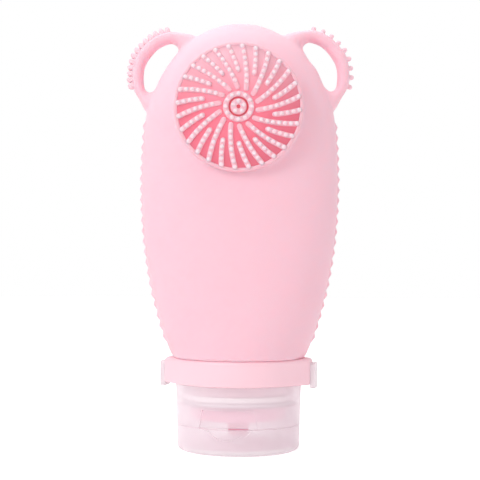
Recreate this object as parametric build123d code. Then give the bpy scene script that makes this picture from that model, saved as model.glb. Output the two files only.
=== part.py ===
from build123d import *
import math
import os

os.makedirs("parts", exist_ok=True)

# A squeezable travel bottle of soft silicone that stands on its flip-top cap.
# Millimetres, +Z up. The origin is on the floor, under the middle of the closed lid.
# The scrub brush on the bottle's front looks along -Y, and +X is on its right.

# Clearances
running_gap = 0.05  # a pin or a spigot in its hole
seat_gap = 0.05  # faces that are pressed together in use
parting_gap = 0.12  # lid rim to cap rim
thread_gap = 0.4  # thread crest to the wall across from it
soft_gap = 0.3  # silicone to what moves past it
cut_overrun = 1.0  # how far a cut runs past the face that it opens

# Closed cap, on its outside
cap_radius = 19.3
cap_taper = 0.65  # what the radius loses from the collar to the floor
cap_height = 20.2  # floor to the underside of the collar
cap_wall = 1.25
cap_yaw = 10.0  # degrees that the screwed-up cap is turned from the bottle's front

# Flip lid
lid_height = 8.0
lid_floor = 1.6
lid_edge_round = 1.6
lip_width = 14.0
lip_depth = 3.9  # from the lid's rim down to the lowest point of the lip
lip_reach = 1.1  # how far the lip stands out from the lid
lip_rim = 0.9
lip_scoop = 0.7
plug_length = 1.8  # how far the lid's plug goes into the nozzle
plug_taper = 0.35  # lets the plug swing out of the nozzle with the lid

# Hinge of the lid, at the back
knuckle_radius = 1.6
knuckle_gap = 0.2
hinge_pin_radius = 0.8
knuckle_width = 5.6
hinge_ear_width = 2.4
hinge_web = 3.6  # how far the knuckle and its ears reach along the walls

# Thumb recess in the cap, over the lid's lip
recess_height = 5.5
recess_depth = 3.0
recess_top_width = 15.5
recess_foot_width = 17.9
recess_wall = 1.0
recess_roof = 0.4  # top of the recess to the deck

# Deck inside the cap, and the spout that snaps on under it
deck_thickness = 1.5
deck_hole_radius = 6.0
spigot_height = 1.5
spout_gap = 0.35  # spout to the back of the recess
spout_wall = 1.2
spout_height = 4.3
nozzle_radius = 3.6
nozzle_tip_radius = 3.0
nozzle_bore_radius = 1.9
nozzle_clearance = 2.8  # nozzle tip to the lid's floor
clamp_wall = 1.4

# Slit valve
valve_radius = 7.4
valve_flange = 1.1
valve_skin = 0.5
valve_dome_height = 1.8
valve_slit_width = 0.12
valve_slit_length = 4.0

# Seal washer between deck and neck
washer_thickness = 1.5
washer_lap = 1.1  # how far the washer reaches in past the neck's bore

# Screw thread
thread_pitch = 3.0
thread_height = 1.3
thread_foot = 1.3
thread_crest = 0.8
thread_start = 1.7  # neck rim to the middle of the first turn
thread_run_out = 2.9  # last turn on the neck to the bottle's mouth

# Neck of the bottle
neck_wall = 1.6
neck_web = 1.2
sleeve_height = 4.4
barb_height = 0.4
barb_pitch = 1.6
barb_count = 2

# Collar ring
collar_height = 7.8
collar_wall = 1.5
collar_step = 0.5  # how far the collar stands out from the cap
collar_round = 1.2
collar_foot_round = 0.4
lug_reach = 2.7  # how far a lug stands out from the ring
lug_width = 8.0
lug_round = 1.5
lug_wall = 1.0

# Side catches that hold the collar on the cap
catch_plate = 1.5
catch_plate_height = 7.6
catch_plate_width = 7.0
catch_plate_drop = 1.1  # how far the plate hangs below its lug
catch_plate_round = 0.7
catch_stem_radius = 1.1
catch_bite = 0.9  # how deep the stem's nose reaches into the cap
catch_washer_radius = 2.1
catch_washer_thickness = 0.8
catch_washer_gap = 0.3
catch_pocket_radius = 2.5
spring_wire = 0.25
spring_radius = 1.7
spring_turns = 2.5

# Bottle body
total_height = 131.2
mouth_overhang = 0.3
body_wall = 2.3
crown_wall = 2.6
chamber_step = 0.4  # what the chamber gains on each side over the bore under it
cuff_flare = 2.2  # what the body gains on each side from its mouth to the top of its cuff
cuff_flare_deep = -0.3
body_half_width = 30.3
body_half_depth = 18.0
# Height, half width, half depth and squareness of the body, from above its cuff to its crown.
body_shares = (
    (0.114, 0.812, 1.067, 2.1),
    (0.211, 0.893, 1.028, 2.2),
    (0.327, 0.957, 1.000, 2.3),
    (0.464, 0.993, 0.972, 2.3),
    (0.561, 0.997, 0.944, 2.3),
    (0.658, 0.983, 0.906, 2.3),
    (0.736, 0.954, 0.861, 2.3),
    (0.813, 0.858, 0.806, 2.3),
    (0.872, 0.756, 0.739, 2.2),
    (0.920, 0.640, 0.644, 2.2),
    (0.959, 0.508, 0.500, 2.1),
    (0.984, 0.310, 0.311, 2.0),
    (1.000, 0.112, 0.117, 2.0),
)
section_points = 24

# Saw-toothed seam down both sides
seam_pitch = 3.25
seam_tooth = 0.7
seam_root = 1.4
seam_thickness = 2.6
seam_top_share = 0.70

# Ear loops: the places along one loop, as shares of half width and of body height
ear_shares = (
    (0.446, 0.925),
    (0.693, 0.958),
    (0.911, 0.934),
    (1.030, 0.890),
    (1.043, 0.828),
    (0.967, 0.778),
    (0.825, 0.741),
)
ear_band = 3.9
ear_thickness = 6.0
stud_root = 1.0  # how deep a nub or a ridge is rooted in the loop
ridge_count = 13
ridge_width = 1.4
ridge_length = 1.5
ridge_depth = 4.4
ridge_first_share = 0.25
ridge_last_share = 0.74
nub_count = 9
nub_radius = 0.65
nub_length = 1.5
nub_first_share = 0.26
nub_last_share = 0.75

# Scrub brush on the front
brush_radius = 18.6
brush_height_share = 0.724
brush_offset = -0.5  # the brush's middle lies a little left of the bottle's
brush_inset = 1.2  # how far the brush's seat lies inside the body's half depth
brush_floor = 1.3
brush_rim_width = 1.0
rib_height = 2.6
rib_width = 1.45
rib_count = 14
rib_inner_gap = 1.2  # hub to the long ribs
rib_outer_gap = 0.5  # rib ends to the edge of the brush
short_rib_start = 4.1  # where a short rib starts, out from where a long one does
rib_first_angle = 16.0
rib_sweep_angle = 19.5
rib_bow = 0.55
bead_radius = 0.55
bead_pitch = 1.7
long_rib_beads = 7
short_rib_beads = 5
bead_inset = 0.3  # last bead to the rib's end
hub_radius = 4.6
hub_wall = 1.65
hub_beads = 12
button_radius = 2.4
button_bead_inset = 0.8
button_beads = 5
dimple_radius = 0.6
dimple_depth = 1.0

# Places that follow from the sizes
lid_top = lid_height - parting_gap
deck_height = lid_height + recess_height + recess_roof
deck_top = deck_height + deck_thickness
nozzle_tip = lid_floor + nozzle_clearance
neck_low = deck_top + seat_gap + washer_thickness + seat_gap
collar_top = cap_height + collar_height
body_low = collar_top + soft_gap
body_height = total_height - body_low
collar_radius = cap_radius + collar_step
collar_bore_radius = collar_radius - collar_wall
skirt_radius = collar_bore_radius - running_gap
skirt_bore_radius = skirt_radius - cap_wall
skirt_top = collar_top - soft_gap - cap_wall
neck_radius = skirt_bore_radius - thread_height - thread_gap
neck_bore_radius = neck_radius - neck_wall
mouth_radius = collar_radius + mouth_overhang
mouth_bore_radius = mouth_radius - body_wall
sleeve_radius = mouth_bore_radius - running_gap
sleeve_top = body_low + sleeve_height
cuff_top = sleeve_top + soft_gap
lug_end = collar_radius + lug_reach
foot_radius = cap_radius - cap_taper
lid_radius = cap_radius - cap_taper * (cap_height - lid_height) / cap_height
hinge_y = lid_radius + knuckle_radius + knuckle_gap
spout_radius = lid_radius - recess_depth - recess_wall - spout_gap
neck_thread_low = neck_low + thread_start
neck_thread_span = body_low - thread_run_out - neck_thread_low
# Half a pitch keeps each turn in the cap midway between two turns on the neck.
cap_thread_low = neck_thread_low + thread_pitch / 2
cap_thread_span = skirt_top - thread_foot - cap_thread_low
catch_height = cap_height + collar_height / 2
brush_seat = body_half_depth - brush_inset
rib_start_radius = hub_radius + rib_inner_gap
rib_end_radius = brush_radius - rib_outer_gap - rib_width / 2


def disc(radius, low, high):
    centred_on_foot = (Align.CENTER, Align.CENTER, Align.MIN)
    return Pos(0, 0, low) * Cylinder(radius, high - low, align=centred_on_foot)


def tube(outer, inner, low, high):
    return disc(outer, low, high) - disc(inner, low - cut_overrun, high + cut_overrun)


def block(low, high):
    size = [h - l for l, h in zip(low, high)]
    middle = [(h + l) / 2 for l, h in zip(low, high)]
    return Pos(*middle) * Box(*size)


def along_x(shape, start, height=0):
    """Lay a shape that was made along +Z down along +X, from x = start, at a height."""
    return Pos(start, 0, height) * Rot(0, 90, 0) * shape


def along_y(shape, start, height=0):
    """Lay a shape that was made along +Z down along +Y, from y = start, at a height."""
    return Pos(0, start, height) * Rot(-90, 0, 0) * shape


def spun(points):
    """Turn a closed outline of (radius, height) points about the bottle's axis."""
    outline = Polyline(*[(r, 0, z) for r, z in points], close=True)
    return revolve(make_face(outline), Axis.Z)


def turned(shape):
    """Turn a piece of the cap to where the screwed-up cap stops."""
    return Rot(0, 0, -cap_yaw) * shape


def other_side(shape):
    return Rot(0, 0, 180) * shape


def helical_ridge(root, crest, low, span):
    """A right-hand thread: root and crest are radii, and low is the middle of its first turn."""
    path = Helix(thread_pitch, span, root)
    foot, tip = thread_foot / 2, thread_crest / 2
    corners = [(root, 0, -foot), (root, 0, foot), (crest, 0, tip), (crest, 0, -tip)]
    outline = make_face(Polyline(*corners, close=True))
    return Pos(0, 0, low) * sweep(outline, path, is_frenet=True)


def lid_lip():
    """The smile-shaped lip that a thumb pushes: a raised rim round a shallow scoop."""
    radius = ((lip_width / 2) ** 2 + lip_depth**2) / (2 * lip_depth)
    middle = lid_top - lip_depth + radius
    reach = lid_radius + lip_reach
    lip = tube(reach, lid_radius - cap_wall / 2, 0, lid_top)
    lip &= along_y(disc(radius, 0, reach), -reach, middle)
    scoop = tube(reach + cut_overrun, reach - lip_scoop, 0, lid_height)
    return lip - (scoop & along_y(disc(radius - lip_rim, 0, reach), -reach, middle))


def hinge_plate(x_low, x_high, web_low, web_high):
    """A round knuckle on the hinge axis, with a web to the wall in front of it."""
    knuckle = along_x(disc(knuckle_radius, 0, x_high - x_low), x_low, lid_height)
    wall = lid_radius - cap_wall / 2
    web = block((x_low, wall - hinge_y, web_low), (x_high, 0, web_high))
    return Pos(0, hinge_y, 0) * (knuckle + web)


def hinge_pin(radius, half_length):
    return Pos(0, hinge_y, 0) * along_x(disc(radius, 0, 2 * half_length), -half_length, lid_height)


def flip_lid():
    shell = spun(
        [
            (0, 0),
            (foot_radius, 0),
            (lid_radius, lid_top),
            (lid_radius - cap_wall, lid_top),
            (foot_radius - cap_wall, lid_floor),
            (0, lid_floor),
        ]
    )
    shell = fillet(shell.edges().filter_by(GeomType.CIRCLE).group_by(Axis.Z)[0], lid_edge_round)
    plug_radius = nozzle_bore_radius - running_gap
    plug_top = nozzle_tip + plug_length
    shell += spun(
        [
            (0, lid_floor / 2),
            (plug_radius, lid_floor / 2),
            (plug_radius, nozzle_tip),
            (plug_radius - plug_taper, plug_top),
            (0, plug_top),
        ]
    )
    knuckle = hinge_plate(-knuckle_width / 2, knuckle_width / 2, lid_height - hinge_web, lid_top)
    pin = hinge_pin(hinge_pin_radius, knuckle_width / 2 + hinge_ear_width)
    return shell + lid_lip() + knuckle + pin


def recess_prism(grow, below):
    """The thumb recess, grown by its wall, cut from the cap's front back to its depth."""
    top = lid_height + recess_height + grow
    foot = lid_height - below
    half_top = recess_top_width / 2 + grow
    half_foot = recess_foot_width / 2 + grow
    front = -cap_radius - cut_overrun
    back = recess_depth + grow - lid_radius
    corners = [(-half_foot, foot), (half_foot, foot), (half_top, top), (-half_top, top)]
    outline = make_face(Polyline(*[(x, front, z) for x, z in corners], close=True))
    return extrude(outline, amount=back - front, dir=(0, 1, 0))


def cap_base():
    spigot = spout_radius - spout_wall - running_gap
    deck_radius = cap_radius - cap_taper * (cap_height - deck_height) / cap_height
    shell = spun(
        [
            (lid_radius, lid_height),
            (cap_radius, cap_height),
            (skirt_radius, cap_height),
            (skirt_radius, skirt_top),
            (skirt_bore_radius, skirt_top),
            (skirt_bore_radius, deck_top),
            (deck_hole_radius, deck_top),
            (deck_hole_radius, deck_height),
            (spigot - spout_wall, deck_height),
            (spigot - spout_wall, deck_height - spigot_height),
            (spigot, deck_height - spigot_height),
            (spigot, deck_height),
            (deck_radius - cap_wall, deck_height),
            (lid_radius - cap_wall, lid_height),
        ]
    )
    inside = disc(lid_radius - cap_wall / 2, lid_height, deck_height + deck_thickness / 2)
    shell += recess_prism(recess_wall, 0) & inside
    shell -= recess_prism(0, cut_overrun)
    root = skirt_bore_radius + cap_wall / 4
    shell += helical_ridge(root, neck_radius + thread_gap, cap_thread_low, cap_thread_span)
    inner = knuckle_width / 2 + running_gap
    outer = knuckle_width / 2 + hinge_ear_width
    ears = hinge_plate(inner, outer, lid_height, lid_height + hinge_web)
    ears += hinge_plate(-outer, -inner, lid_height, lid_height + hinge_web)
    shell += ears - hinge_pin(hinge_pin_radius + running_gap, outer + cut_overrun)
    nose_hole = disc(catch_stem_radius + running_gap, 0, 2 * cap_radius)
    return shell - along_x(nose_hole, -cap_radius, catch_height)


def spout_insert():
    """The cup that snaps on under the deck, clamps the valve and ends in the nozzle."""
    low = deck_height - spout_height
    floor_top = low + spout_wall
    rim = deck_height - seat_gap
    clamp_top = deck_height - valve_flange - seat_gap
    return spun(
        [
            (spout_radius, low),
            (spout_radius, rim),
            (spout_radius - spout_wall, rim),
            (spout_radius - spout_wall, floor_top),
            (valve_radius, floor_top),
            (valve_radius, clamp_top),
            (valve_radius - clamp_wall, clamp_top),
            (valve_radius - clamp_wall, floor_top),
            (nozzle_bore_radius, floor_top),
            (nozzle_bore_radius, nozzle_tip),
            (nozzle_tip_radius, nozzle_tip),
            (nozzle_radius, low),
        ]
    )


def slit_valve():
    """A soft flange with a thin dome that bulges down, cut by a cross of two slits."""
    top = deck_height - seat_gap / 2
    low = top - valve_flange
    foot = low - valve_dome_height
    dome_radius = valve_radius - clamp_wall - running_gap
    ball = (dome_radius**2 + valve_dome_height**2) / (2 * valve_dome_height)
    middle = foot + ball
    valve = disc(dome_radius, foot, top) & Pos(0, 0, middle) * Sphere(ball)
    valve += disc(valve_radius, low, top)
    hollow = disc(dome_radius - valve_skin, foot, top + cut_overrun)
    valve -= hollow & Pos(0, 0, middle) * Sphere(ball - valve_skin)
    half, reach = valve_slit_width / 2, valve_slit_length / 2
    valve -= block((-half, -reach, foot - cut_overrun), (half, reach, top))
    return valve - block((-reach, -half, foot - cut_overrun), (reach, half, top))


def seal_washer():
    low = deck_top + seat_gap
    return tube(skirt_bore_radius - thread_gap, neck_bore_radius - washer_lap, low, low + washer_thickness)


def barb(number, grow):
    """One barb of the neck's sleeve, or, grown, the groove that it bites in the silicone."""
    low = body_low + neck_web + barb_pitch * number
    high = low + barb_pitch / 2 + grow
    root = sleeve_radius - neck_wall / 2
    crest = sleeve_radius + barb_height + grow
    return spun([(root, low - grow), (crest, low - grow), (sleeve_radius, high), (root, high)])


def neck_insert():
    """The rigid neck: a threaded tube below, and a barbed sleeve up into the body's mouth."""
    neck = spun(
        [
            (neck_bore_radius, neck_low),
            (neck_radius, neck_low),
            (neck_radius, body_low),
            (sleeve_radius, body_low),
            (sleeve_radius, sleeve_top),
            (sleeve_radius - neck_wall, sleeve_top),
            (sleeve_radius - neck_wall, body_low + neck_web),
            (neck_bore_radius, body_low + neck_web),
        ]
    )
    root = neck_radius - neck_wall / 4
    neck += helical_ridge(root, neck_radius + thread_height, neck_thread_low, neck_thread_span)
    return neck + [barb(number, 0) for number in range(barb_count)]


def lug():
    """The right-hand lug of the collar, with sides that leave the ring along its tangents."""
    half = lug_width / 2
    turn = math.atan2(half, lug_end) + math.acos(collar_radius / math.hypot(lug_end, half))
    x, y = collar_radius * math.cos(turn), collar_radius * math.sin(turn)
    corners = [(x, -y), (lug_end, -half), (lug_end, half), (x, y)]
    wedge = extrude(make_face(Polyline(*corners, close=True)), amount=collar_height)
    wedge = fillet(wedge.edges().filter_by(Axis.Z).group_by(Axis.X)[-1], lug_round)
    return Pos(0, 0, cap_height) * wedge


def collar_ring():
    ring = disc(collar_radius, cap_height, collar_top) + [lug(), other_side(lug())]
    ring = fillet(ring.edges().group_by(Axis.Z)[-1], collar_round)
    ring = fillet(ring.edges().group_by(Axis.Z)[0], collar_foot_round)
    ring -= disc(collar_bore_radius, cap_height - cut_overrun, collar_top + cut_overrun)
    pocket_end = lug_end - lug_wall
    ring -= along_x(disc(catch_pocket_radius, 0, 2 * pocket_end), -pocket_end, catch_height)
    hole_end = lug_end + cut_overrun
    hole = disc(catch_stem_radius + running_gap, 0, 2 * hole_end)
    return ring - along_x(hole, -hole_end, catch_height)


def side_catch():
    """The right-hand catch: a plate to pull by its lower edge, and a stem into the cap."""
    low = cap_height - catch_plate_drop
    half = catch_plate_width / 2
    plate = block((lug_end, -half, low), (lug_end + catch_plate, half, low + catch_plate_height))
    plate = fillet(plate.edges().filter_by(Axis.X), catch_plate_round)
    nose = skirt_radius - catch_bite
    stem = disc(catch_stem_radius, 0, lug_end + catch_plate / 2 - nose)
    return plate + along_x(stem, nose, catch_height)


def catch_washer():
    """The snap ring on the stem that the spring pushes inward."""
    ring = tube(catch_washer_radius, catch_stem_radius, 0, catch_washer_thickness)
    return along_x(ring, collar_bore_radius + catch_washer_gap, catch_height)


def catch_spring():
    low = collar_bore_radius + catch_washer_gap + catch_washer_thickness + spring_wire / 2
    length = lug_end - lug_wall - spring_wire / 2 - low
    path = Helix(length / spring_turns, length, spring_radius)
    wire = Plane(origin=path @ 0, z_dir=path % 0) * Circle(spring_wire / 2)
    return along_x(sweep(wire, path, is_frenet=True), low, catch_height)


def oval(half_width, half_depth, squareness, height):
    """A superellipse at that height, as one closed smooth curve."""
    power = 2 / squareness
    points = []
    for number in range(section_points):
        angle = 2 * math.pi * number / section_points
        across, deep = math.cos(angle), math.sin(angle)
        x = half_width * math.copysign(abs(across) ** power, across)
        y = half_depth * math.copysign(abs(deep) ** power, deep)
        points.append((x, y, height))
    return Face(Wire([Spline(*points, periodic=True)]))


def body_stations():
    """Half width, half depth, squareness and height of each section above the cuff."""
    return [
        (body_half_width * wide, body_half_depth * deep, square, body_low + body_height * high)
        for high, wide, deep, square in body_shares
    ]


def body_outside():
    cuff = oval(mouth_radius + cuff_flare, mouth_radius + cuff_flare_deep, 2, cuff_top)
    sections = [oval(mouth_radius, mouth_radius, 2, body_low), cuff]
    return loft(sections + [oval(*station) for station in body_stations()])


def chamber():
    """The room for the liquid, with the bore for the neck's sleeve under it."""
    squash = (body_height - crown_wall) / body_height
    start = mouth_bore_radius + chamber_step
    sections = [oval(start, start, 2, cuff_top)]
    for wide, deep, square, height in body_stations()[:-1]:
        inner_height = body_low + (height - body_low) * squash
        sections.append(oval(wide - body_wall, deep - body_wall, square, inner_height))
    return loft(sections) + disc(mouth_bore_radius, body_low - cut_overrun, cuff_top)


def half_width_at(height):
    """Half width of the body at a height, on straight lines between its sections."""
    places = [(cuff_top, mouth_radius + cuff_flare)]
    places += [(height, wide) for wide, deep, square, height in body_stations()]
    for (low, wide_low), (high, wide_high) in zip(places, places[1:]):
        if height <= high:
            return wide_low + (wide_high - wide_low) * (height - low) / (high - low)
    return places[-1][1]


def seam():
    """The saw-toothed strip down the right-hand side of the body."""
    top = body_low + body_height * seam_top_share
    count = round((top - cuff_top) / seam_pitch)
    edge, root = [], []
    for number in range(count + 1):
        valley = cuff_top + seam_pitch * number
        edge.append((half_width_at(valley), 0, valley))
        root.append((half_width_at(valley) - seam_root, 0, valley))
        if number < count:
            tip = valley + seam_pitch / 2
            edge.append((half_width_at(tip) + seam_tooth, 0, tip))
    outline = make_face(Polyline(*edge, *reversed(root), close=True))
    return extrude(outline, amount=seam_thickness / 2, both=True)


def ear_path():
    points = [(body_half_width * wide, 0, body_low + body_height * high) for wide, high in ear_shares]
    return Spline(*points)


def ear_loop():
    path = ear_path()
    across = Plane(origin=path @ 0, x_dir=(0, 1, 0), z_dir=path % 0)
    return sweep(across * Ellipse(ear_thickness / 2, ear_band / 2), path)


def on_ear(shape, share):
    """Root a shape, made along +Z, in the outside of the right-hand ear loop."""
    path = ear_path()
    along = path % share
    outward = Vector(-along.Z, 0, along.X)
    foot = (path @ share) + outward * (ear_band / 2 - stud_root)
    return Plane(origin=foot, x_dir=(0, 1, 0), z_dir=outward) * shape


def ear_ridges():
    bottom = (Align.CENTER, Align.CENTER, Align.MIN)
    ridge = Box(ridge_depth, ridge_width, ridge_length + stud_root, align=bottom)
    ridge = fillet(ridge.edges().group_by(Axis.Z)[-1], ridge_width / 4)
    step = (ridge_last_share - ridge_first_share) / (ridge_count - 1)
    return [on_ear(ridge, ridge_first_share + step * n) for n in range(ridge_count)]


def ear_nubs():
    straight = nub_length + stud_root - nub_radius
    nub = disc(nub_radius, 0, straight) + Pos(0, 0, straight) * Sphere(nub_radius)
    step = (nub_last_share - nub_first_share) / (nub_count - 1)
    return [on_ear(nub, nub_first_share + step * n) for n in range(nub_count)]


def brush_place(shape):
    """Stand a shape, made on the XY plane with its front along +Z, on the brush's seat."""
    height = body_low + body_height * brush_height_share
    return Pos(brush_offset, -brush_seat, height) * Rot(90, 0, 0) * shape


def silicone_body():
    """The squeezable body: shell, ear loops, side seams and the flat seat of the brush."""
    seat = brush_place(disc(brush_radius, -brush_seat, 0))
    right_ear = ear_loop() + ear_nubs()
    left_ear = mirror(ear_loop() + ear_ridges(), Plane.YZ)
    body = body_outside() + [seat, seam(), mirror(seam(), Plane.YZ), right_ear, left_ear]
    pocket = brush_place(disc(brush_radius + running_gap, 0, brush_radius))
    return body - [chamber(), pocket] - [barb(number, running_gap) for number in range(barb_count)]


def polar(radius, angle):
    return (radius * math.cos(math.radians(angle)), radius * math.sin(math.radians(angle)))


def rib_curve(first_angle, start_radius):
    """The bowed middle line of a rib, from that radius out to the rim."""
    inner = polar(rib_start_radius, first_angle)
    outer = polar(rib_end_radius, first_angle + rib_sweep_angle)
    start = (start_radius - rib_start_radius) / (rib_end_radius - rib_start_radius)
    return SagittaArc(inner, outer, rib_bow).trim(start, 1)


def bead(x, y):
    return Pos(x, y, rib_height) * Sphere(bead_radius)


def rib(first_angle, start_radius, beads):
    curve = rib_curve(first_angle, start_radius)
    pieces = [extrude(SlotArc(curve, rib_width), amount=rib_height)]
    for number in range(beads):
        back = (bead_inset + bead_pitch * number) / curve.length
        spot = curve @ (1 - back)
        pieces.append(bead(spot.X, spot.Y))
    return pieces


def bead_circle(radius, count):
    return [bead(*polar(radius, 90 + 360 * number / count)) for number in range(count)]


def brush_pad():
    """The scrub brush: a dish with curved, beaded ribs round a hub and a middle button."""
    pad = disc(brush_radius, 0, rib_height)
    pad -= disc(brush_radius - brush_rim_width, brush_floor, rib_height + cut_overrun)
    pad += tube(hub_radius, hub_radius - hub_wall, 0, rib_height)
    button = disc(button_radius, 0, rib_height)
    pad += button - disc(dimple_radius, rib_height - dimple_depth, rib_height + cut_overrun)
    pieces = bead_circle(hub_radius - hub_wall / 2, hub_beads)
    pieces += bead_circle(button_radius - button_bead_inset, button_beads)
    step = 360 / rib_count
    for number in range(rib_count):
        angle = rib_first_angle + step * number
        pieces += rib(angle, rib_start_radius, long_rib_beads)
        pieces += rib(angle + step / 2, rib_start_radius + short_rib_start, short_rib_beads)
    return brush_place(pad + pieces)


solids = {
    "flip_lid": turned(flip_lid()),
    "cap_base": turned(cap_base()),
    "spout_insert": turned(spout_insert()),
    "slit_valve": turned(slit_valve()),
    "seal_washer": seal_washer(),
    "collar_ring": turned(collar_ring()),
    "catch_right": turned(side_catch()),
    "catch_left": turned(other_side(side_catch())),
    "catch_washer_right": turned(catch_washer()),
    "catch_washer_left": turned(other_side(catch_washer())),
    "catch_spring_right": turned(catch_spring()),
    "catch_spring_left": turned(other_side(catch_spring())),
    "neck_insert": neck_insert(),
    "silicone_body": silicone_body(),
    "brush_pad": brush_pad(),
}
for name, solid in solids.items():
    export_step(solid, f"parts/{name}.step")
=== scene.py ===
# %% [markdown]
# # A travel bottle of soft silicone
#
# The bottle stands on its flip-top cap. A CAD program made its hard parts, and they come in here as a
# fixed frame. This lesson dresses that frame: it models the soft body and its scrub brush as smooth
# meshes, gives every part its material, and sets up a white studio and a camera.
#
# Blender measures in metres. The sizes below are in millimetres and are multiplied by `mm`.

# %% Load the frame
import math

import bpy
from mathutils import Matrix, Vector


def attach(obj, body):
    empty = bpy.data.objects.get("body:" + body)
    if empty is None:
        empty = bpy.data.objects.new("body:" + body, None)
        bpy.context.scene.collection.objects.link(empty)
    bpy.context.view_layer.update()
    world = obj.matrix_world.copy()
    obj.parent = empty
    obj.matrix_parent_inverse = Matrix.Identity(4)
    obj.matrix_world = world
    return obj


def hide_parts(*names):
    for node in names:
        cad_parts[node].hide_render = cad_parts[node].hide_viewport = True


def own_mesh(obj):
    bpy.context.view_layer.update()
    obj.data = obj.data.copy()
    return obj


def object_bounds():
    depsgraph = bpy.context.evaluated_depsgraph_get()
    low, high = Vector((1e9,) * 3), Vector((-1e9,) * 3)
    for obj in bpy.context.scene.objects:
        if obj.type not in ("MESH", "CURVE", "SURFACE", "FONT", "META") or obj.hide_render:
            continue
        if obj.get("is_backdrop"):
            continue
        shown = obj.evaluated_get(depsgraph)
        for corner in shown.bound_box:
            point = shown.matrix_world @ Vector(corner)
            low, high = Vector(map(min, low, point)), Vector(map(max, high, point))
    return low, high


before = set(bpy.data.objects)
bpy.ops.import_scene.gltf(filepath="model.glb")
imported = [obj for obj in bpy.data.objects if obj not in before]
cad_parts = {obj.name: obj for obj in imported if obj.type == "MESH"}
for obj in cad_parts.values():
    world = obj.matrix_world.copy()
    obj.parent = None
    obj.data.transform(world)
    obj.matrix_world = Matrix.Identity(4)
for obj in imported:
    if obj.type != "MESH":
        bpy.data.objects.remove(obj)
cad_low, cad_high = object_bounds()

mm = 0.001
print("parts:", ", ".join(sorted(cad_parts)))

# %% [markdown]
# ## Camera
#
# The bottle was photographed from nearly level, a little under half its height, with a long lens.
# Two things tell this: the collar curves down in the picture, so it lies below the eye, and the top of
# the brush and its foot look alike. A long lens set about 34 cm away gives that same flat look. The
# bottle also leans a third of a degree to the right in the picture, so the camera is rolled by as much.

# %% Camera
EYE_HEIGHT = 51.3 * mm
EYE_DISTANCE = 341 * mm
LOOK_UP = math.radians(2.16)
ROLL = math.radians(-0.35)

SENSOR_WIDTH = 36
FOCAL_LENGTH = 82.5
SHIFT = 0.0017

lens = bpy.data.cameras.new("camera")
lens.sensor_width = SENSOR_WIDTH
lens.lens = FOCAL_LENGTH
lens.shift_x = SHIFT
camera = bpy.data.objects.new("camera", lens)
camera.location = (0, -EYE_DISTANCE, EYE_HEIGHT)
camera.rotation_euler = (math.pi / 2 + LOOK_UP, ROLL, 0)
bpy.context.scene.collection.objects.link(camera)
bpy.context.scene.camera = camera
print("camera at", tuple(round(v, 3) for v in camera.location))

# %% [markdown]
# ## White studio
#
# Product pictures like this one are taken in a white tent, so light comes from everywhere and the
# shadows are faint. A bright world gives that even light. One large soft lamp at the upper left makes
# the left side paler than the right, as in the photo, a weak one lifts the right edge, and a third one
# high above makes the head and the top of the collar paler.
#
# The camera, mirror-like surfaces and clear plastic see the world as plain white, and see the floor a
# little lifted, so that it is as white. All other rays get a dimmer world, so the object isn't washed out.

# %% Helpers for nodes
def add_node(tree, kind, **inputs):
    """Adds a node to a material, a world or a group, and sets or links its named inputs."""
    node = tree.nodes.new(kind)
    for name, value in inputs.items():
        socket = node.inputs[name.replace("_", " ")]
        if isinstance(value, bpy.types.NodeSocket):
            tree.links.new(value, socket)
        else:
            socket.default_value = value
    return node


def math_node(tree, operation, first, second):
    """Adds a Math node for two values, each a number or a socket, and returns its result."""
    node = tree.nodes.new("ShaderNodeMath")
    node.operation = operation
    for socket, value in zip(node.inputs, (first, second)):
        if isinstance(value, bpy.types.NodeSocket):
            tree.links.new(value, socket)
        else:
            socket.default_value = value
    return node.outputs["Value"]


def sees_backdrop(tree):
    """1 for rays that should see the plain white backdrop, else 0."""
    path = tree.nodes.new("ShaderNodeLightPath")
    seen = math_node(tree, "MAXIMUM", path.outputs["Is Camera Ray"], path.outputs["Is Glossy Ray"])
    return math_node(tree, "MAXIMUM", seen, path.outputs["Is Transmission Ray"])


print("helpers:", add_node.__name__, math_node.__name__, sees_backdrop.__name__)

# %% World, lamps and floor
WORLD_LIGHT = 0.6
FLOOR_LIFT = 0.5
FLOOR_SIZE = 6.0
SCENE_MIDDLE = (0, 0, 0.07)

bpy.context.scene.view_settings.view_transform = "Standard"

world = bpy.data.worlds.new("white_tent")
bpy.context.scene.world = world
world.use_nodes = True
background = world.node_tree.nodes["Background"]
background.inputs["Color"].default_value = (1, 1, 1, 1)
seen = sees_backdrop(world.node_tree)
strength = math_node(world.node_tree, "MULTIPLY", seen, 1 - WORLD_LIGHT)
strength = math_node(world.node_tree, "ADD", strength, WORLD_LIGHT)
world.node_tree.links.new(strength, background.inputs["Strength"])


def soft_lamp(name, place, size, energy, colour=(1, 1, 1)):
    """A square soft box that looks at the middle of the bottle."""
    data = bpy.data.lights.new(name, "AREA")
    data.size = size
    data.energy = energy
    data.color = colour
    lamp = bpy.data.objects.new(name, data)
    lamp.location = place
    lamp.rotation_euler = (Vector(SCENE_MIDDLE) - Vector(place)).to_track_quat("-Z", "Y").to_euler()
    bpy.context.scene.collection.objects.link(lamp)


soft_lamp("key_lamp", place=(-0.42, -0.45, 0.42), size=0.35, energy=1.85)
soft_lamp("fill_lamp", place=(0.50, -0.25, 0.15), size=0.40, energy=0.5, colour=(1.0, 0.86, 0.89))
soft_lamp("top_lamp", place=(-0.10, 0.05, 0.60), size=0.35, energy=1.3)

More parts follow.
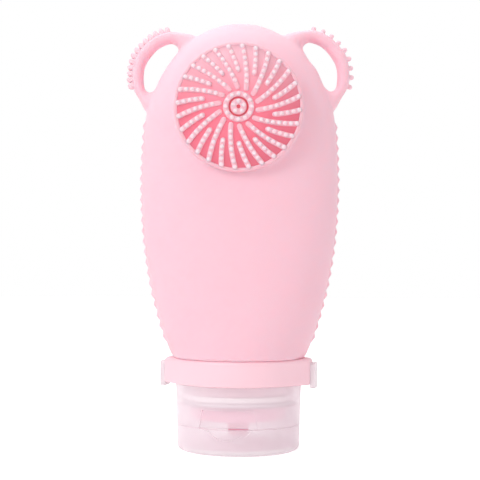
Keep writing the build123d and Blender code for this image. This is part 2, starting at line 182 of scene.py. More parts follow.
half = FLOOR_SIZE / 2
floor_mesh = bpy.data.meshes.new("floor")
floor_corners = [(-half, -half, 0), (half, -half, 0), (half, half, 0), (-half, half, 0)]
floor_mesh.from_pydata(floor_corners, [], [(0, 1, 2, 3)])
floor = bpy.data.objects.new("floor", floor_mesh)
bpy.context.scene.collection.objects.link(floor)
floor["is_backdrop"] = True

paper = bpy.data.materials.new("white_paper")
paper.use_nodes = True
shader = paper.node_tree.nodes["Principled BSDF"]
shader.inputs["Base Color"].default_value = (0.9, 0.9, 0.9, 1)
shader.inputs["Roughness"].default_value = 0.9
shader.inputs["Emission Color"].default_value = (1, 1, 1, 1)
lift = math_node(paper.node_tree, "MULTIPLY", sees_backdrop(paper.node_tree), FLOOR_LIFT)
paper.node_tree.links.new(lift, shader.inputs["Emission Strength"])
floor_mesh.materials.append(paper)

# %% [markdown]
# ## Materials
#
# Moulded silicone is matte: its mould was blasted with sand, which leaves a fine grain. Light goes a
# little way into it and comes out redder, so thin edges glow and deep grooves turn a strong pink; the
# brush's grooves are made darker still with painted shade. The hard parts are moulded plastic with a
# smoother grain. The cap's plastic is frosted: it is made partly see-through with Alpha, because clear
# refraction would bend the dark insides into view, which frosting never shows.
#
# All of them share one effect, the moulded grain, so it is made once as a node group. Each material
# gives the group its own colour and scale, and takes back a colour, a roughness and a height that
# change over the surface. Numbers that are the same all over are set on the shader itself.

# %% The moulded grain, shared by all the materials
def srgb(red, green, blue):
    """A colour as picked from a screen, 0 to 255, turned into Blender's linear colour."""
    shares = [value / 255 for value in (red, green, blue)]
    linear = [s / 12.92 if s <= 0.04045 else ((s + 0.055) / 1.055) ** 2.4 for s in shares]
    return (*linear, 1)


def make_grain_group():
    """Builds the group: it mixes two colours in soft clouds, and gives a roughness and a fine height."""
    group = bpy.data.node_groups.new("moulded_grain", "ShaderNodeTree")
    sockets = group.interface
    sockets.new_socket("Color", in_out="INPUT", socket_type="NodeSocketColor")
    sockets.new_socket("Shade", in_out="INPUT", socket_type="NodeSocketColor")
    for name in ("Grain Scale", "Roughness Low", "Roughness High"):
        sockets.new_socket(name, in_out="INPUT", socket_type="NodeSocketFloat")
    sockets.new_socket("Color", in_out="OUTPUT", socket_type="NodeSocketColor")
    sockets.new_socket("Roughness", in_out="OUTPUT", socket_type="NodeSocketFloat")
    sockets.new_socket("Height", in_out="OUTPUT", socket_type="NodeSocketFloat")

    given = group.nodes.new("NodeGroupInput")
    result = group.nodes.new("NodeGroupOutput")
    place = group.nodes.new("ShaderNodeTexCoord").outputs["Object"]
    clouds = add_node(group, "ShaderNodeTexNoise", Vector=place, Scale=45.0, Detail=3.0)
    grain = add_node(group, "ShaderNodeTexNoise", Vector=place, Detail=2.0)
    group.links.new(given.outputs["Grain Scale"], grain.inputs["Scale"])

    tint = group.nodes.new("ShaderNodeMix")
    tint.data_type = "RGBA"
    group.links.new(clouds.outputs["Fac"], tint.inputs["Factor"])
    group.links.new(given.outputs["Color"], tint.inputs["A"])
    group.links.new(given.outputs["Shade"], tint.inputs["B"])
    group.links.new(tint.outputs["Result"], result.inputs["Color"])

    rough = add_node(group, "ShaderNodeMapRange", Value=clouds.outputs["Fac"])
    group.links.new(given.outputs["Roughness Low"], rough.inputs["To Min"])
    group.links.new(given.outputs["Roughness High"], rough.inputs["To Max"])
    group.links.new(rough.outputs["Result"], result.inputs["Roughness"])
    group.links.new(grain.outputs["Fac"], result.inputs["Height"])
    return group


moulded_grain = make_grain_group()


def moulded(name, colour, shade, roughness, grain_scale, grain_depth):
    """A material with the moulded grain. Returns it with its shader, for the settings of its own."""
    material = bpy.data.materials.new(name)
    material.use_nodes = True
    tree = material.node_tree
    shader = tree.nodes["Principled BSDF"]
    grain = tree.nodes.new("ShaderNodeGroup")
    grain.node_tree = moulded_grain
    grain.inputs["Color"].default_value = colour
    grain.inputs["Shade"].default_value = shade
    grain.inputs["Grain Scale"].default_value = grain_scale
    grain.inputs["Roughness Low"].default_value = roughness[0]
    grain.inputs["Roughness High"].default_value = roughness[1]
    tree.links.new(grain.outputs["Color"], shader.inputs["Base Color"])
    tree.links.new(grain.outputs["Roughness"], shader.inputs["Roughness"])
    bump = add_node(tree, "ShaderNodeBump", Height=grain.outputs["Height"], Distance=grain_depth)
    bump.inputs["Strength"].default_value = 0.5
    tree.links.new(bump.outputs["Normal"], shader.inputs["Normal"])
    return material, shader


print("group:", moulded_grain.name, [item.name for item in moulded_grain.interface.items_tree])

# %% Silicone in its tones
def silicone(name, colour, shade, depth, weight=0.6):
    """Matte silicone. Depth is how far light goes into it, and weight how much of the light does."""
    material, shader = moulded(
        name, colour, shade, roughness=(0.55, 0.68), grain_scale=2600.0, grain_depth=0.02 * mm
    )
    shader.inputs["Subsurface Weight"].default_value = weight
    shader.inputs["Subsurface Radius"].default_value = (1.0, 0.38, 0.34)
    shader.inputs["Subsurface Scale"].default_value = depth
    shader.inputs["Specular IOR Level"].default_value = 0.35
    return material


body_silicone = silicone("body_silicone", srgb(254, 205, 217), srgb(253, 200, 213), 1.6 * mm)
# Studs and teeth are too thin for light to go deep.
stud_silicone = silicone("stud_silicone", srgb(254, 212, 222), srgb(253, 207, 218), 0.5 * mm, 0.15)
# The brush is one silicone. Its floor and its groove are darker pinks as painted shade, the floor is paler
# at its top as painted light, and its beads are paler as a painted highlight.
floor_painted_light_and_shade = silicone("brush_floor_painted_light_and_shade", srgb(255, 137, 157), srgb(254, 130, 151), 1.0 * mm, 0.2)
groove_painted_shade = silicone("brush_groove_painted_shade", srgb(252, 118, 132), srgb(248, 110, 126), 1.0 * mm)
rib_silicone = silicone("brush_rib_silicone", srgb(253, 198, 209), srgb(252, 192, 204), 1.0 * mm)
bead_painted_highlight = silicone("brush_bead_painted_highlight", srgb(255, 226, 232), srgb(254, 220, 228), 0.8 * mm)

# Painted light: the brush's floor is paler towards its top, between these two heights, where light from
# above reaches it.
PAINTED_LIGHT_FROM, PAINTED_LIGHT_TO = 99 * mm, 122 * mm

tree = floor_painted_light_and_shade.node_tree
shader = tree.nodes["Principled BSDF"]
place = tree.nodes.new("ShaderNodeTexCoord").outputs["Object"]
height = add_node(tree, "ShaderNodeSeparateXYZ", Vector=place).outputs["Z"]
fade = add_node(tree, "ShaderNodeMapRange", Value=height, From_Min=PAINTED_LIGHT_FROM, From_Max=PAINTED_LIGHT_TO)
fade.interpolation_type = "SMOOTHSTEP"
paler = tree.nodes.new("ShaderNodeMix")
paler.data_type = "RGBA"
tree.links.new(fade.outputs["Result"], paler.inputs["Factor"])
tree.links.new(shader.inputs["Base Color"].links[0].from_socket, paler.inputs["A"])
paler.inputs["B"].default_value = srgb(255, 202, 214)
tree.links.new(paler.outputs["Result"], shader.inputs["Base Color"])
soft_materials = (body_silicone, stud_silicone, floor_painted_light_and_shade, groove_painted_shade, rib_silicone, bead_painted_highlight)
print("silicone:", [material.name for material in soft_materials])

# %% Plastic, frosted plastic, soft seals and steel
def pink(name, colour, shade):
    """Opaque moulded plastic that light enters a little."""
    material, shader = moulded(
        name, colour, shade, roughness=(0.38, 0.46), grain_scale=1800.0, grain_depth=0.008 * mm
    )
    shader.inputs["Subsurface Weight"].default_value = 0.15
    shader.inputs["Subsurface Radius"].default_value = (1.0, 0.5, 0.45)
    shader.inputs["Subsurface Scale"].default_value = 1.0 * mm
    return material


pink_plastic = pink("pink_plastic", srgb(253, 212, 222), srgb(252, 207, 218))
# The spout is a deeper pink: it is what colours the thumb recess from behind.
spout_plastic = pink("spout_plastic", srgb(251, 178, 200), srgb(248, 170, 194))

frosted_plastic, shader = moulded(
    "frosted_plastic", srgb(247, 229, 237), srgb(244, 225, 234),
    roughness=(0.28, 0.36), grain_scale=1500.0, grain_depth=0.01 * mm
)
# Each surface of a frosted wall hides two fifths of what lies behind it, and more where the eye looks
# along it. It stops only a twentieth of that share of the light, because frosting scatters light but
# lets it through.
FROST_HIDES = 0.40
FROST_STOPS = 0.05

tree = frosted_plastic.node_tree
glance = add_node(tree, "ShaderNodeLayerWeight", Blend=0.3).outputs["Facing"]
hidden = add_node(tree, "ShaderNodeMapRange", Value=glance, To_Min=FROST_HIDES, To_Max=1.0)
path = tree.nodes.new("ShaderNodeLightPath")
lighting = math_node(tree, "MAXIMUM", path.outputs["Is Shadow Ray"], path.outputs["Is Diffuse Ray"])
share = add_node(tree, "ShaderNodeMapRange", Value=lighting, To_Min=1.0, To_Max=FROST_STOPS)
alpha = math_node(tree, "MULTIPLY", hidden.outputs["Result"], share.outputs["Result"])
tree.links.new(alpha, shader.inputs["Alpha"])

catch_plastic, shader = moulded(
    "catch_plastic", srgb(250, 236, 242), srgb(248, 232, 239),
    roughness=(0.36, 0.44), grain_scale=1500.0, grain_depth=0.01 * mm
)
shader.inputs["Alpha"].default_value = 0.75

clear_silicone, shader = moulded(
    "clear_silicone", srgb(252, 246, 248), srgb(250, 242, 245),
    roughness=(0.3, 0.4), grain_scale=1500.0, grain_depth=0.01 * mm
)
shader.inputs["Alpha"].default_value = 0.5

seal_foam, _ = moulded(
    "seal_foam", srgb(246, 242, 240), srgb(240, 235, 233),
    roughness=(0.75, 0.9), grain_scale=3200.0, grain_depth=0.04 * mm
)

spring_steel, shader = moulded(
    "spring_steel", srgb(200, 202, 206), srgb(184, 186, 192),
    roughness=(0.22, 0.34), grain_scale=4000.0, grain_depth=0.003 * mm
)
shader.inputs["Metallic"].default_value = 1.0
hard_materials = (pink_plastic, spout_plastic, frosted_plastic, catch_plastic, seal_foam, spring_steel)
print("hard parts:", [material.name for material in hard_materials])

# %% [markdown]
# ## Helpers for smooth forms
#
# The body, its loops and the brush's ribs are all lofts: a row of rings, joined by quads. For the body
# and the loops a short list of sizes read off the photo is enough, because a Catmull-Rom curve fills in
# the rows between them. That keeps the numbers few and the surface smooth.

# %% Lofts and smooth curves
def between(rows, steps, closed=False):
    """Adds rows between the given ones, on a smooth curve that goes through them all."""

    def on_curve(a, b, c, d, t):
        bend = (2 * a - 5 * b + 4 * c - d) * t**2
        twist = (3 * b - a - 3 * c + d) * t**3
        return 0.5 * (2 * b + (c - a) * t + bend + twist)

    more = []
    last = len(rows) - 1
    for i in range(len(rows) if closed else last):
        near = range(i - 1, i + 3)
        before, start, end, after = (rows[k % len(rows) if closed else min(max(k, 0), last)] for k in near)
        for step in range(steps):
            more.append(tuple(on_curve(*values, step / steps) for values in zip(before, start, end, after)))
    return more if closed else more + [tuple(rows[-1])]


def oval(half_width, half_depth, squareness, count):
    """Points round a superellipse: squareness 2 is an ellipse, and more is boxier."""
    points = []
    for number in range(count):
        angle = 2 * math.pi * number / count
        across, deep = math.cos(angle), math.sin(angle)
        x = half_width * math.copysign(abs(across) ** (2 / squareness), across)
        y = half_depth * math.copysign(abs(deep) ** (2 / squareness), deep)
        points.append(Vector((x, y, 0)))
    return points


class Shape:
    """Collects the points and faces of one piece, in millimetres."""

    def __init__(self):
        self.points, self.faces = [], []

    def loft(self, rings, closed=False):
        """Joins a row of rings with quads. It closes both ends, or joins the last ring to the first."""
        first, count = len(self.points), len(rings[0])
        for ring in rings:
            self.points += ring
        for row in range(len(rings) if closed else len(rings) - 1):
            low = first + row * count
            high = first + (row + 1) % len(rings) * count
            for k in range(count):
                n = (k + 1) % count
                self.faces.append((low + k, low + n, high + n, high + k))
        if not closed:
            self.faces.append(tuple(range(first + count - 1, first - 1, -1)))
            last = first + (len(rings) - 1) * count
            self.faces.append(tuple(range(last, last + count)))

    def piece(self, name, material, body):
        """Makes the Blender object, in metres, and lets it ride on a body of the frame."""
        mesh = bpy.data.meshes.new(name)
        mesh.from_pydata([Vector(p) * mm for p in self.points], [], self.faces)
        mesh.polygons.foreach_set("use_smooth", [True] * len(mesh.polygons))
        mesh.materials.append(material)
        made = bpy.data.objects.new(name, mesh)
        bpy.context.scene.collection.objects.link(made)
        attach(made, body)
        print(name, len(mesh.polygons), "faces")
        return made


print("helpers:", between.__name__, oval.__name__, Shape.__name__)

# %% [markdown]
# ## Silicone body
#
# The body is one soft moulding: a flattened bottle with a round mouth below, a bulging chamber, a small
# domed head, two ear loops and a raised round seat for the brush. Where these run into each other the
# real mould has soft fillets. They are modelled as simple closed forms that overlap, then fused by a
# voxel remesh and relaxed, because that rounds every inner corner, as in moulded silicone. Beveled
# boolean unions would need each corner done by hand.

# %% Bottle form
MOUTH_RADIUS = 17.85
BORE_MIDDLE = 1.0
BODY_LOW = 27.9
CUFF_TOP = 33.0
# Height, half width, half depth and squareness.
BODY_SECTIONS = [
    (BODY_LOW, 20.0, 20.0, 2.0),
    (29.0, 20.7, 20.0, 2.0),
    (30.4, 21.4, 19.9, 2.0),
    (CUFF_TOP, 22.4, 19.8, 2.0),
    (40.0, 24.6, 19.2, 2.1),
    (50.0, 27.1, 18.5, 2.2),
    (62.0, 29.1, 17.9, 2.3),
    (74.0, 30.1, 17.2, 2.3),
    (84.0, 30.3, 16.5, 2.3),
    (96.0, 29.8, 15.9, 2.3),
    (104.0, 28.9, 15.3, 2.3),
    (112.0, 26.0, 14.3, 2.3),
    (118.0, 22.8, 13.1, 2.2),
    (123.0, 19.0, 11.2, 2.2),
    (126.4, 15.4, 9.0, 2.1),
    (128.2, 12.5, 7.2, 2.0),
    (129.7, 9.4, 5.4, 2.0),
    (130.9, 5.9, 3.4, 2.0),
    (131.15, 2.6, 1.6, 2.0),
    (131.2, 0.3, 0.2, 2.0),
]
# Points round a section, and rows from one section to the next.
ROUND = 96
SMOOTH_STEPS = 6


def oval_at(height, half_width, half_depth, squareness):
    """A ring of points round the bottle's axis, at that height."""
    return [p + Vector((0, 0, height)) for p in oval(half_width, half_depth, squareness, ROUND)]


body_form = Shape()
# The mouth is a blind bore: from the middle of its end, out to its wall and down to the body's low edge.
bore_rows = ((CUFF_TOP, BORE_MIDDLE), (CUFF_TOP, MOUTH_RADIUS), (BODY_LOW, MOUTH_RADIUS))
bore = [oval_at(height, radius, radius, 2) for height, radius in bore_rows]
body_rows = between(BODY_SECTIONS, SMOOTH_STEPS)
body_form.loft(bore + [oval_at(*row) for row in body_rows])
print("the body has", len(body_rows), "sections of", ROUND, "points")

# %% [markdown]
# The ear loops are rings of silicone that grow out of the head's shoulders and the body's sides, round
# a hole that is straight towards the body and rounded outside. Each pair below is a place on the edge of
# the hole and the place across the band from it. The section between the two is nearly an ellipse, and a
# closed loft through all of them gives a band that widens where it meets the body. The left loop is the
# right one mirrored, and a little lower.

# %% Ear loops
# Right and up: the edge of the hole, then the outer edge. The last number is half the band's depth there.
EAR_PAIRS = [
    (21.1, 125.7, 20.4, 129.2, 3.6),
    (19.3, 123.9, 12.8, 127.2, 4.6),
    (20.1, 121.7, 14.0, 121.0, 6.2),
    (21.7, 119.1, 16.5, 116.7, 6.8),
    (23.5, 117.0, 18.2, 113.5, 6.8),
    (24.8, 114.4, 20.0, 110.8, 6.4),
    (26.1, 111.5, 22.5, 107.3, 5.4),
    (28.1, 110.1, 28.5, 104.0, 4.0),
    (29.7, 111.2, 31.4, 107.9, 3.2),
    (30.1, 113.7, 33.8, 112.4, 3.0),
    (30.1, 116.5, 33.9, 117.2, 3.0),
    (29.5, 118.9, 32.9, 121.6, 3.0),
    (28.2, 121.1, 30.8, 124.4, 3.0),
    (26.0, 123.7, 27.9, 127.2, 3.0),
    (23.6, 125.1, 24.2, 129.0, 3.1),
]
# In the photo the right loop sits a little higher than the left one. Side 1 is the right, -1 the left.
EAR_LIFT = {1: 0.4, -1: -0.3}
BAND_SQUARENESS = 2.2
BAND_POINTS = 24


def ear_rings(side):
    """The rings of one loop's band, each round the middle of a pair of places."""
    rings = []
    lift = EAR_LIFT[side]
    for hole_x, hole_z, edge_x, edge_z, deep in between(EAR_PAIRS, SMOOTH_STEPS, closed=True):
        hole, edge = Vector((side * hole_x, 0, hole_z + lift)), Vector((side * edge_x, 0, edge_z + lift))
        half = (edge - hole) / 2
        section = oval(1, deep, BAND_SQUARENESS, BAND_POINTS)
        ring = [hole + half + half * p.x + Vector((0, p.y, 0)) for p in section]
        rings.append(ring if side > 0 else ring[::-1])
    return rings


body_form.loft(ear_rings(1), closed=True)
body_form.loft(ear_rings(-1), closed=True)
print("each ear loop has", len(ear_rings(1)), "sections")

# %% [markdown]
# The brush sits on a raised round seat on the body's front. A short cylinder pushed into the chamber is
# enough for it, because the remesh joins it to the body as it joins the loops. Voxels a little over
# half a millimetre wide are fine enough for the loops, and the smooth modifier evens out their steps.

# %% Seat of the brush, and the body fused
BRUSH_HEIGHT = 102.8
BRUSH_ACROSS = -0.5
BRUSH_SEAT = 16.8
BRUSH_RADIUS = 19.25
# The rings of the seat, from deep in the body to just out of its face.
SEAT_LEVELS = (-12, -6, -3, -1.5, -0.6, 0.1)
VOXEL = 0.55 * mm


def on_brush(right, up, out):
    """A point on the front: right and up from the brush's middle, and out from its seat."""
    return Vector((BRUSH_ACROSS + right, -BRUSH_SEAT - out, BRUSH_HEIGHT + up))


def brush_circle(radius, out):
    """A circle round the brush's middle, that far out from its seat."""
    return [on_brush(p.x, p.y, out) for p in oval(radius, radius, 2, ROUND)]


body_form.loft([brush_circle(BRUSH_RADIUS, out) for out in SEAT_LEVELS])
silicone_body = body_form.piece("silicone_body", body_silicone, "bottle")
fuse = silicone_body.modifiers.new("fuse", "REMESH")
fuse.mode = "VOXEL"
fuse.voxel_size = VOXEL
fuse.use_smooth_shade = True
relax = silicone_body.modifiers.new("relax", "SMOOTH")
relax.factor = 0.5
relax.iterations = 6
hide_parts("silicone_body")

# %% [markdown]
# The outer edge of each loop is a small massage comb. The right loop carries round pegs and the left one
# blocky ridges that cross the band. Each is a short loft with a foot wider than its tip, like anything
# that has to leave a mould, set square to the band.

# %% Pegs and ridges
STUD_ROOT = 2.0
PEGS, PEG_START, PEG_PITCH = 9, 10.2, 2.9
RIDGES, RIDGE_START, RIDGE_PITCH = 13, 10.3, 1.88
COMB_STEPS = 20

# The outer edge of the right loop, from the head round to the body's side.
COMB_ORDER = (1, 0, 14, 13, 12, 11, 10, 9, 8, 7)
comb_places = [EAR_PAIRS[k][2:4] for k in COMB_ORDER]
comb_line = [Vector((x, 0, z)) for x, z in between(comb_places, COMB_STEPS)]


def along(line, distance):
    """The point that far along a line of points, and the line's direction there."""
    for start, end in zip(line, line[1:]):
        step = (end - start).length
        if distance <= step:
            break
        distance -= step
    return start.lerp(end, distance / step), (end - start).normalized()


def on_ear(distance, side):
    """A place on a loop's outer edge, with the direction that points out of it."""
    foot, course = along(comb_line, distance)
    out = Vector((-course.z, 0, course.x))
    foot -= out * STUD_ROOT
    return Vector((side * foot.x, 0, foot.z + EAR_LIFT[side])), Vector((side * out.x, 0, out.z))


def stud(shape, foot, out, levels, squareness, count):
    """A loft that stands out of the band: each level is a height, a half width and a half depth."""
    across = Vector((-out.z, 0, out.x))
    rings = []
    for height, half_width, half_depth in levels:
        ring = []
        for p in oval(half_width, half_depth, squareness, count):
            ring.append(foot + out * height + across * p.x + Vector((0, p.y, 0)))
        rings.append(ring)
    shape.loft(rings)


# Height, half width and half depth. A peg is round, with a slight waist under its head.
PEG_RADII = [(0, 0.95), (2.1, 0.85), (2.35, 0.74), (2.6, 0.78), (2.95, 0.66), (3.2, 0.42), (3.28, 0.15)]
PEG_LEVELS = [(height, radius, radius) for height, radius in PEG_RADII]
RIDGE_LEVELS = [(0, 0.95, 2.3), (2.0, 0.92, 2.2), (2.4, 0.84, 2.1), (2.85, 0.7, 1.95)]
RIDGE_LEVELS += [(3.15, 0.5, 1.8), (3.28, 0.25, 1.6)]

pegs = Shape()
for number in range(PEGS):
    stud(pegs, *on_ear(PEG_START + number * PEG_PITCH, 1), PEG_LEVELS, squareness=2, count=16)
ear_pegs = pegs.piece("ear_pegs", stud_silicone, "bottle")

ridges = Shape()
for number in range(RIDGES):
    stud(ridges, *on_ear(RIDGE_START + number * RIDGE_PITCH, -1), RIDGE_LEVELS, squareness=4, count=32)
ear_ridges = ridges.piece("ear_ridges", stud_silicone, "bottle")

# %% [markdown]
# Down each side, where the two halves of the mould met, runs a thin fin with saw teeth for grip. It is
# drawn as a flat outline that follows the body's side, given thickness, and its edges are softened
# with a bevel, because a sharp tooth can't be moulded in silicone.

# %% Toothed seams
# The fin's low end, the teeth's pitch, number and height, how deep the fin is rooted, half its width, and
# how far its edges are rounded.
SEAM_LOW = 32.6
SEAM_PITCH = 3.25
SEAM_TEETH = 21
SEAM_TOOTH = 0.7
SEAM_ROOT = 1.4
SEAM_HALF = 1.3
SEAM_ROUND = 0.16

side_rows = [row[:2] for row in body_rows]


def half_width_at(height):
    """Half the body's width at that height, read off its rows of sections."""
    for (low, wide_low), (high, wide_high) in zip(side_rows, side_rows[1:]):
        if height <= high:
            return wide_low + (wide_high - wide_low) * (height - low) / (high - low)


seams = Shape()
for side in (1, -1):
    edge, root = [], []
    for number in range(2 * SEAM_TEETH + 1):
        height = SEAM_LOW + number * SEAM_PITCH / 2
        tip = SEAM_TOOTH if number % 2 else 0.0
        edge.append((side * (half_width_at(height) + tip), height))
        root.append((side * (half_width_at(height) - SEAM_ROOT), height))
    first = len(seams.points)
    count = len(edge)
    back = 2 * count  # from a point of the front outline to the same one at the back
    for y in (-SEAM_HALF, SEAM_HALF):
        seams.points += [Vector((x, y, z)) for x, z in edge + root]
    for k in range(count - 1):
        a, b, c, d = first + k, first + k + 1, first + count + k + 1, first + count + k
        seams.faces += [(a, d, c, b), (a + back, b + back, c + back, d + back), (a, b, b + back, a + back)]
        seams.faces.append((d, d + back, c + back, c))
    for k in (0, count - 1):
        a, d = first + k, first + count + k
        seams.faces.append((a, a + back, d + back, d) if k == 0 else (a, d, d + back, a + back))
side_seams = seams.piece("side_seams", stud_silicone, "bottle")
soften = side_seams.modifiers.new("soften", "BEVEL")
soften.width = SEAM_ROUND * mm
soften.segments = 2

# %% [markdown]
# ## Scrub brush
#
# The brush is a shallow dish. Fourteen long and fourteen short curved ribs swirl out of its middle,
# and a row of tiny round beads stands on each. In the middle is a raised ring with twelve beads, and in
# it a button with five beads and a dimple. The real one is a single soft moulding of one silicone. Here it
# is four pieces in four tones, and three of them are painted light and shade: painted shade makes the
# dish's floor pink and the groove round the button a deeper pink, the ribs keep about the body's pale
# tone, and a painted highlight makes the beads almost white.

# %% Dish, ring and button
# Radii, and heights above the seat. The groove's floor lies a small step above the dish's.
DISH_RADIUS = 18.6
DISH_FOOT = 0.05
DISH_FLOOR = 2.0
GROOVE_RADIUS = 3.2
GROOVE_FOOT = 1.0
GROOVE_STEP = 0.05
NEAR_AXIS = 0.1
RIB_TOP = 2.6


def lathe(shape, profile):
    """Turns a profile of (radius, height above the seat) about the brush's axis."""
    shape.loft([brush_circle(radius, out) for radius, out in profile])


def disc(radius, foot, top):
    """The profile of a flat disc. The loft's end faces close its middle."""
    return [(NEAR_AXIS, foot), (radius, foot), (radius, top), (NEAR_AXIS, top)]


dish = Shape()
lathe(dish, disc(DISH_RADIUS, DISH_FOOT, DISH_FLOOR))
brush_dish = dish.piece("brush_dish", floor_painted_light_and_shade, "bottle")

# The narrow groove round the button and the button's dimple are a deeper tone, painted shade for the shade
# that falls in them.
groove = Shape()
lathe(groove, disc(GROOVE_RADIUS, GROOVE_FOOT, DISH_FLOOR + GROOVE_STEP))
brush_groove = groove.piece("brush_groove", groove_painted_shade, "bottle")

# %% [markdown]
# Each rib is a loft of long rings, stacked from its wide foot to its narrow top, and each ring runs round
# the rib's middle line. A curve with a bevel would be quicker to make, but it gives a round tube. The
# rim, the ring and the button are turned from profiles, as on a lathe, and share the ribs' pale tone.

# %% Ribs
RIB_COUNT = 14
RIB_START = 5.8
RIB_END = 18.0
SHORT_RIB_START = 9.9
RIB_FIRST_ANGLE = 16.0
RIB_SWEEP = 19.5
RIB_BOW = 0.55
RIB_STEPS = 12
RIB_END_STEPS = 6


def polar(radius, degrees):
    """A place that far from the brush's middle, at that angle."""
    return Vector((radius * math.cos(math.radians(degrees)), radius * math.sin(math.radians(degrees)), 0))


def rib_line(first_angle, start_radius):
    """Points along a rib's middle, slightly bowed, out to the rim, without those inside start_radius."""
    inner = polar(RIB_START, first_angle)
    outer = polar(RIB_END, first_angle + RIB_SWEEP)
    side = Vector((-(outer - inner).y, (outer - inner).x, 0)).normalized()
    line = []
    for step in range(RIB_STEPS + 1):
        t = step / RIB_STEPS
        spot = inner.lerp(outer, t) - side * RIB_BOW * 4 * t * (1 - t)
        if spot.length >= start_radius:
            line.append(spot)
    return line


def rib_outline(line, half_width, out):
    """A long ring round a rib's middle line, with round ends."""
    ring = []
    for points, turn in ((line, 1), (line[::-1], -1)):
        for k, spot in enumerate(points):
            course = (points[min(k + 1, len(points) - 1)] - points[max(k - 1, 0)]).normalized()
            ring.append(spot + Vector((course.y, -course.x, 0)) * half_width)
        for step in range(1, RIB_END_STEPS):
            angle = -math.pi / 2 + math.pi * step / RIB_END_STEPS
            side = Vector((-course.y, course.x, 0))
            ring.append(points[-1] + (course * math.cos(angle) + side * math.sin(angle)) * half_width)
    return [on_brush(p.x, p.y, out) for p in ring]


# Height and half width of a rib, from its foot to its rounded top. Then the number of beads on a long rib
# and on a short one, how far the last bead is from the rib's outer end, and the beads' pitch.
RIB_LEVELS = ((0.9, 0.86), (2.0, 0.8), (2.35, 0.7), (2.54, 0.48), (RIB_TOP, 0.18))
LONG_RIB_BEADS, SHORT_RIB_BEADS = 7, 5
LAST_BEAD = 0.1
BEAD_PITCH = 1.76

ribs = Shape()
bead_spots = []
for number in range(RIB_COUNT):
    angle = RIB_FIRST_ANGLE + number * 360 / RIB_COUNT
    long_rib = (angle, 0, LONG_RIB_BEADS)
    short_rib = (angle + 180 / RIB_COUNT, SHORT_RIB_START, SHORT_RIB_BEADS)
    for first_angle, start, count in (long_rib, short_rib):
        line = rib_line(first_angle, start)
        ribs.loft([rib_outline(line, half_width, out) for out, half_width in RIB_LEVELS])
        for bead in range(count):
            bead_spots.append(along(line[::-1], LAST_BEAD + bead * BEAD_PITCH)[0])

# Radius and height of the brush's rim, of the ring in its middle and of the button in that.
rim = [(BRUSH_RADIUS, 0), (19.2, 1.95), (19.0, 2.25), (18.4, 2.25), (18.15, 2.0), (18.1, 1.3), (18.1, 0.9)]
ring = [(4.65, 0.9), (4.6, 2.2), (4.45, 2.5), (4.2, RIB_TOP)]
ring += [(3.4, RIB_TOP), (3.12, 2.5), (2.98, 2.2), (2.95, 0.9)]
button = [(2.45, 0.9), (2.4, 2.2), (2.25, 2.5), (2.0, RIB_TOP)]
button += [(0.8, RIB_TOP), (0.62, 2.45), (0.6, 2.0), (0.6, 1.6)]
for profile in (rim, ring, button):
    lathe(ribs, profile)
brush_ribs = ribs.piece("brush_ribs", rib_silicone, "bottle")

# %% [markdown]
# The beads are small knobs that rub the skin. Each is a loft of five little circles that close to a dome.
# All of them are one mesh, because nearly two hundred small objects would be slow to handle.

# %% Beads
# Height and radius of a bead. Then the circle that the beads stand on and their number, for the ring and
# for the button.
BEAD_LEVELS = ((2.3, 0.6), (2.62, 0.64), (2.88, 0.56), (3.06, 0.36), (3.14, 0.1))
BEAD_CIRCLES = ((3.85, 12), (1.62, 5))
BEAD_POINTS = 14

for radius, count in BEAD_CIRCLES:
    bead_spots += [polar(radius, 90 + k * 360 / count) for k in range(count)]
beads = Shape()
for spot in bead_spots:
    rings = []
    for out, radius in BEAD_LEVELS:
        circle = oval(radius, radius, 2, BEAD_POINTS)
        rings.append([on_brush(spot.x + p.x, spot.y + p.y, out) for p in circle])
    beads.loft(rings)
brush_beads = beads.piece("brush_beads", bead_painted_highlight, "bottle")
print(len(bead_spots), "beads")
for piece in (brush_dish, brush_groove, brush_ribs, brush_beads):
    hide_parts("brush_pad")

# %% [markdown]
# ## Hard parts
#
# The cap, the collar and the parts inside are rigid, so the CAD shapes are right as they are and only
# get their materials. The lid and the cap also get a small bevel, which takes the light on their edges as
# the rounded edges of moulded plastic do.

# %% Materials on the CAD parts
FINISHES = {
    "flip_lid": frosted_plastic,
    "cap_base": frosted_plastic,
    "catch_right": catch_plastic,
    "catch_left": catch_plastic,
    "spout_insert": spout_plastic,
    "collar_ring": pink_plastic,
    "neck_insert": pink_plastic,
    "slit_valve": clear_silicone,
    "seal_washer": seal_foam,
    "catch_washer_right": spring_steel,
    "catch_washer_left": spring_steel,
}
for name, material in FINISHES.items():
    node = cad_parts[name]
    for material_slot in node.material_slots:
        material_slot.material = material

EDGE_ROUND = 0.2 * mm
SHARP_ANGLE = math.radians(50)

for name in ("flip_lid", "cap_base"):
    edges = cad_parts[name].modifiers.new("edges", "BEVEL")
    edges.width = EDGE_ROUND
    edges.segments = 2
    edges.limit_method = "ANGLE"
    edges.angle_limit = SHARP_ANGLE
print("finished", len(FINISHES), "CAD parts")

# %% [markdown]
# The deck inside the cap is its thickest plastic, so on the real cap it looks milky from the side. The
# frosted material only knows surfaces, and would show the deep pink spout through it. A ring inside the
# deck, in the denser plastic of the catches, stands in for that depth.

# %% Milky deck
# Height and radius of the ring's four corners.
DECK_CORNERS = ((13.95, 16.9), (15.35, 16.9), (15.35, 15.2), (13.95, 15.2))

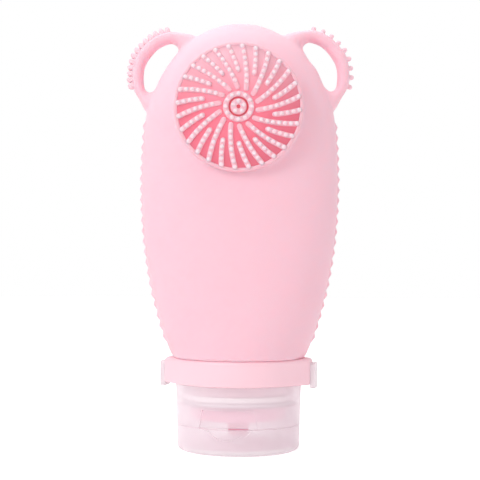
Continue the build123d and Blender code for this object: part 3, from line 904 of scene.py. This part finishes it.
deck_core = Shape()
deck_core.loft([oval_at(height, radius, radius, 2) for height, radius in DECK_CORNERS], closed=True)
milky_deck = deck_core.piece("milky_deck", catch_plastic, "cap")

# %% [markdown]
# ## Springs of the catches
#
# A small steel coil pushes each catch inward, and is pressed together when the catch is pulled out. Its
# CAD solid is replaced by a coil of the same size: a loft whose rings follow a helix.

# %% Spring coils
# How far the cap is turned and how high the catches lie. Then the coil: where it
# starts and ends, measured from the bottle's axis, and its radius, its wire's radius and its turns.
CAP_YAW = math.radians(-10)
CATCH_HEIGHT = 24.1
SPRING_SPAN = (19.4, 21.5)
SPRING_RADIUS = 1.7
WIRE_RADIUS = 0.125
SPRING_TURNS = 2.5
SPRING_STEPS = 60
WIRE_POINTS = 10


def spring_ring(share, turn):
    """A ring of the wire, at that share of the coil, turned about the bottle's axis."""
    angle = 2 * math.pi * SPRING_TURNS * share
    outward, forward = Vector((0, math.cos(angle), math.sin(angle))), Vector((1, 0, 0))
    first, last = SPRING_SPAN[0] + WIRE_RADIUS, SPRING_SPAN[1] - WIRE_RADIUS
    middle = forward * (first + (last - first) * share) + outward * SPRING_RADIUS
    ring = [middle + outward * p.x + forward * p.y for p in oval(WIRE_RADIUS, WIRE_RADIUS, 2, WIRE_POINTS)]
    return [turn @ p + Vector((0, 0, CATCH_HEIGHT)) for p in ring]


for side, half_turn in (("right", 0), ("left", math.pi)):
    turn = Matrix.Rotation(CAP_YAW + half_turn, 3, "Z")
    coil = Shape()
    coil.loft([spring_ring(step / SPRING_STEPS, turn) for step in range(SPRING_STEPS + 1)])
    spring = coil.piece("spring_coil_" + side, spring_steel, "cap")
    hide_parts("catch_spring_" + side)
    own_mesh(spring)

# %% [markdown]
# ## Last step
#
# The box of the dressed bottle and the box of the CAD model are both printed, in millimetres. The
# dressed bottle must stay as large as the CAD model.

# %% Print the sizes and finish
low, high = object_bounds()
for title, size in (("dressed", high - low), ("CAD", cad_high - cad_low)):
    print(title, "size in mm:", [round(v / mm, 1) for v in size])
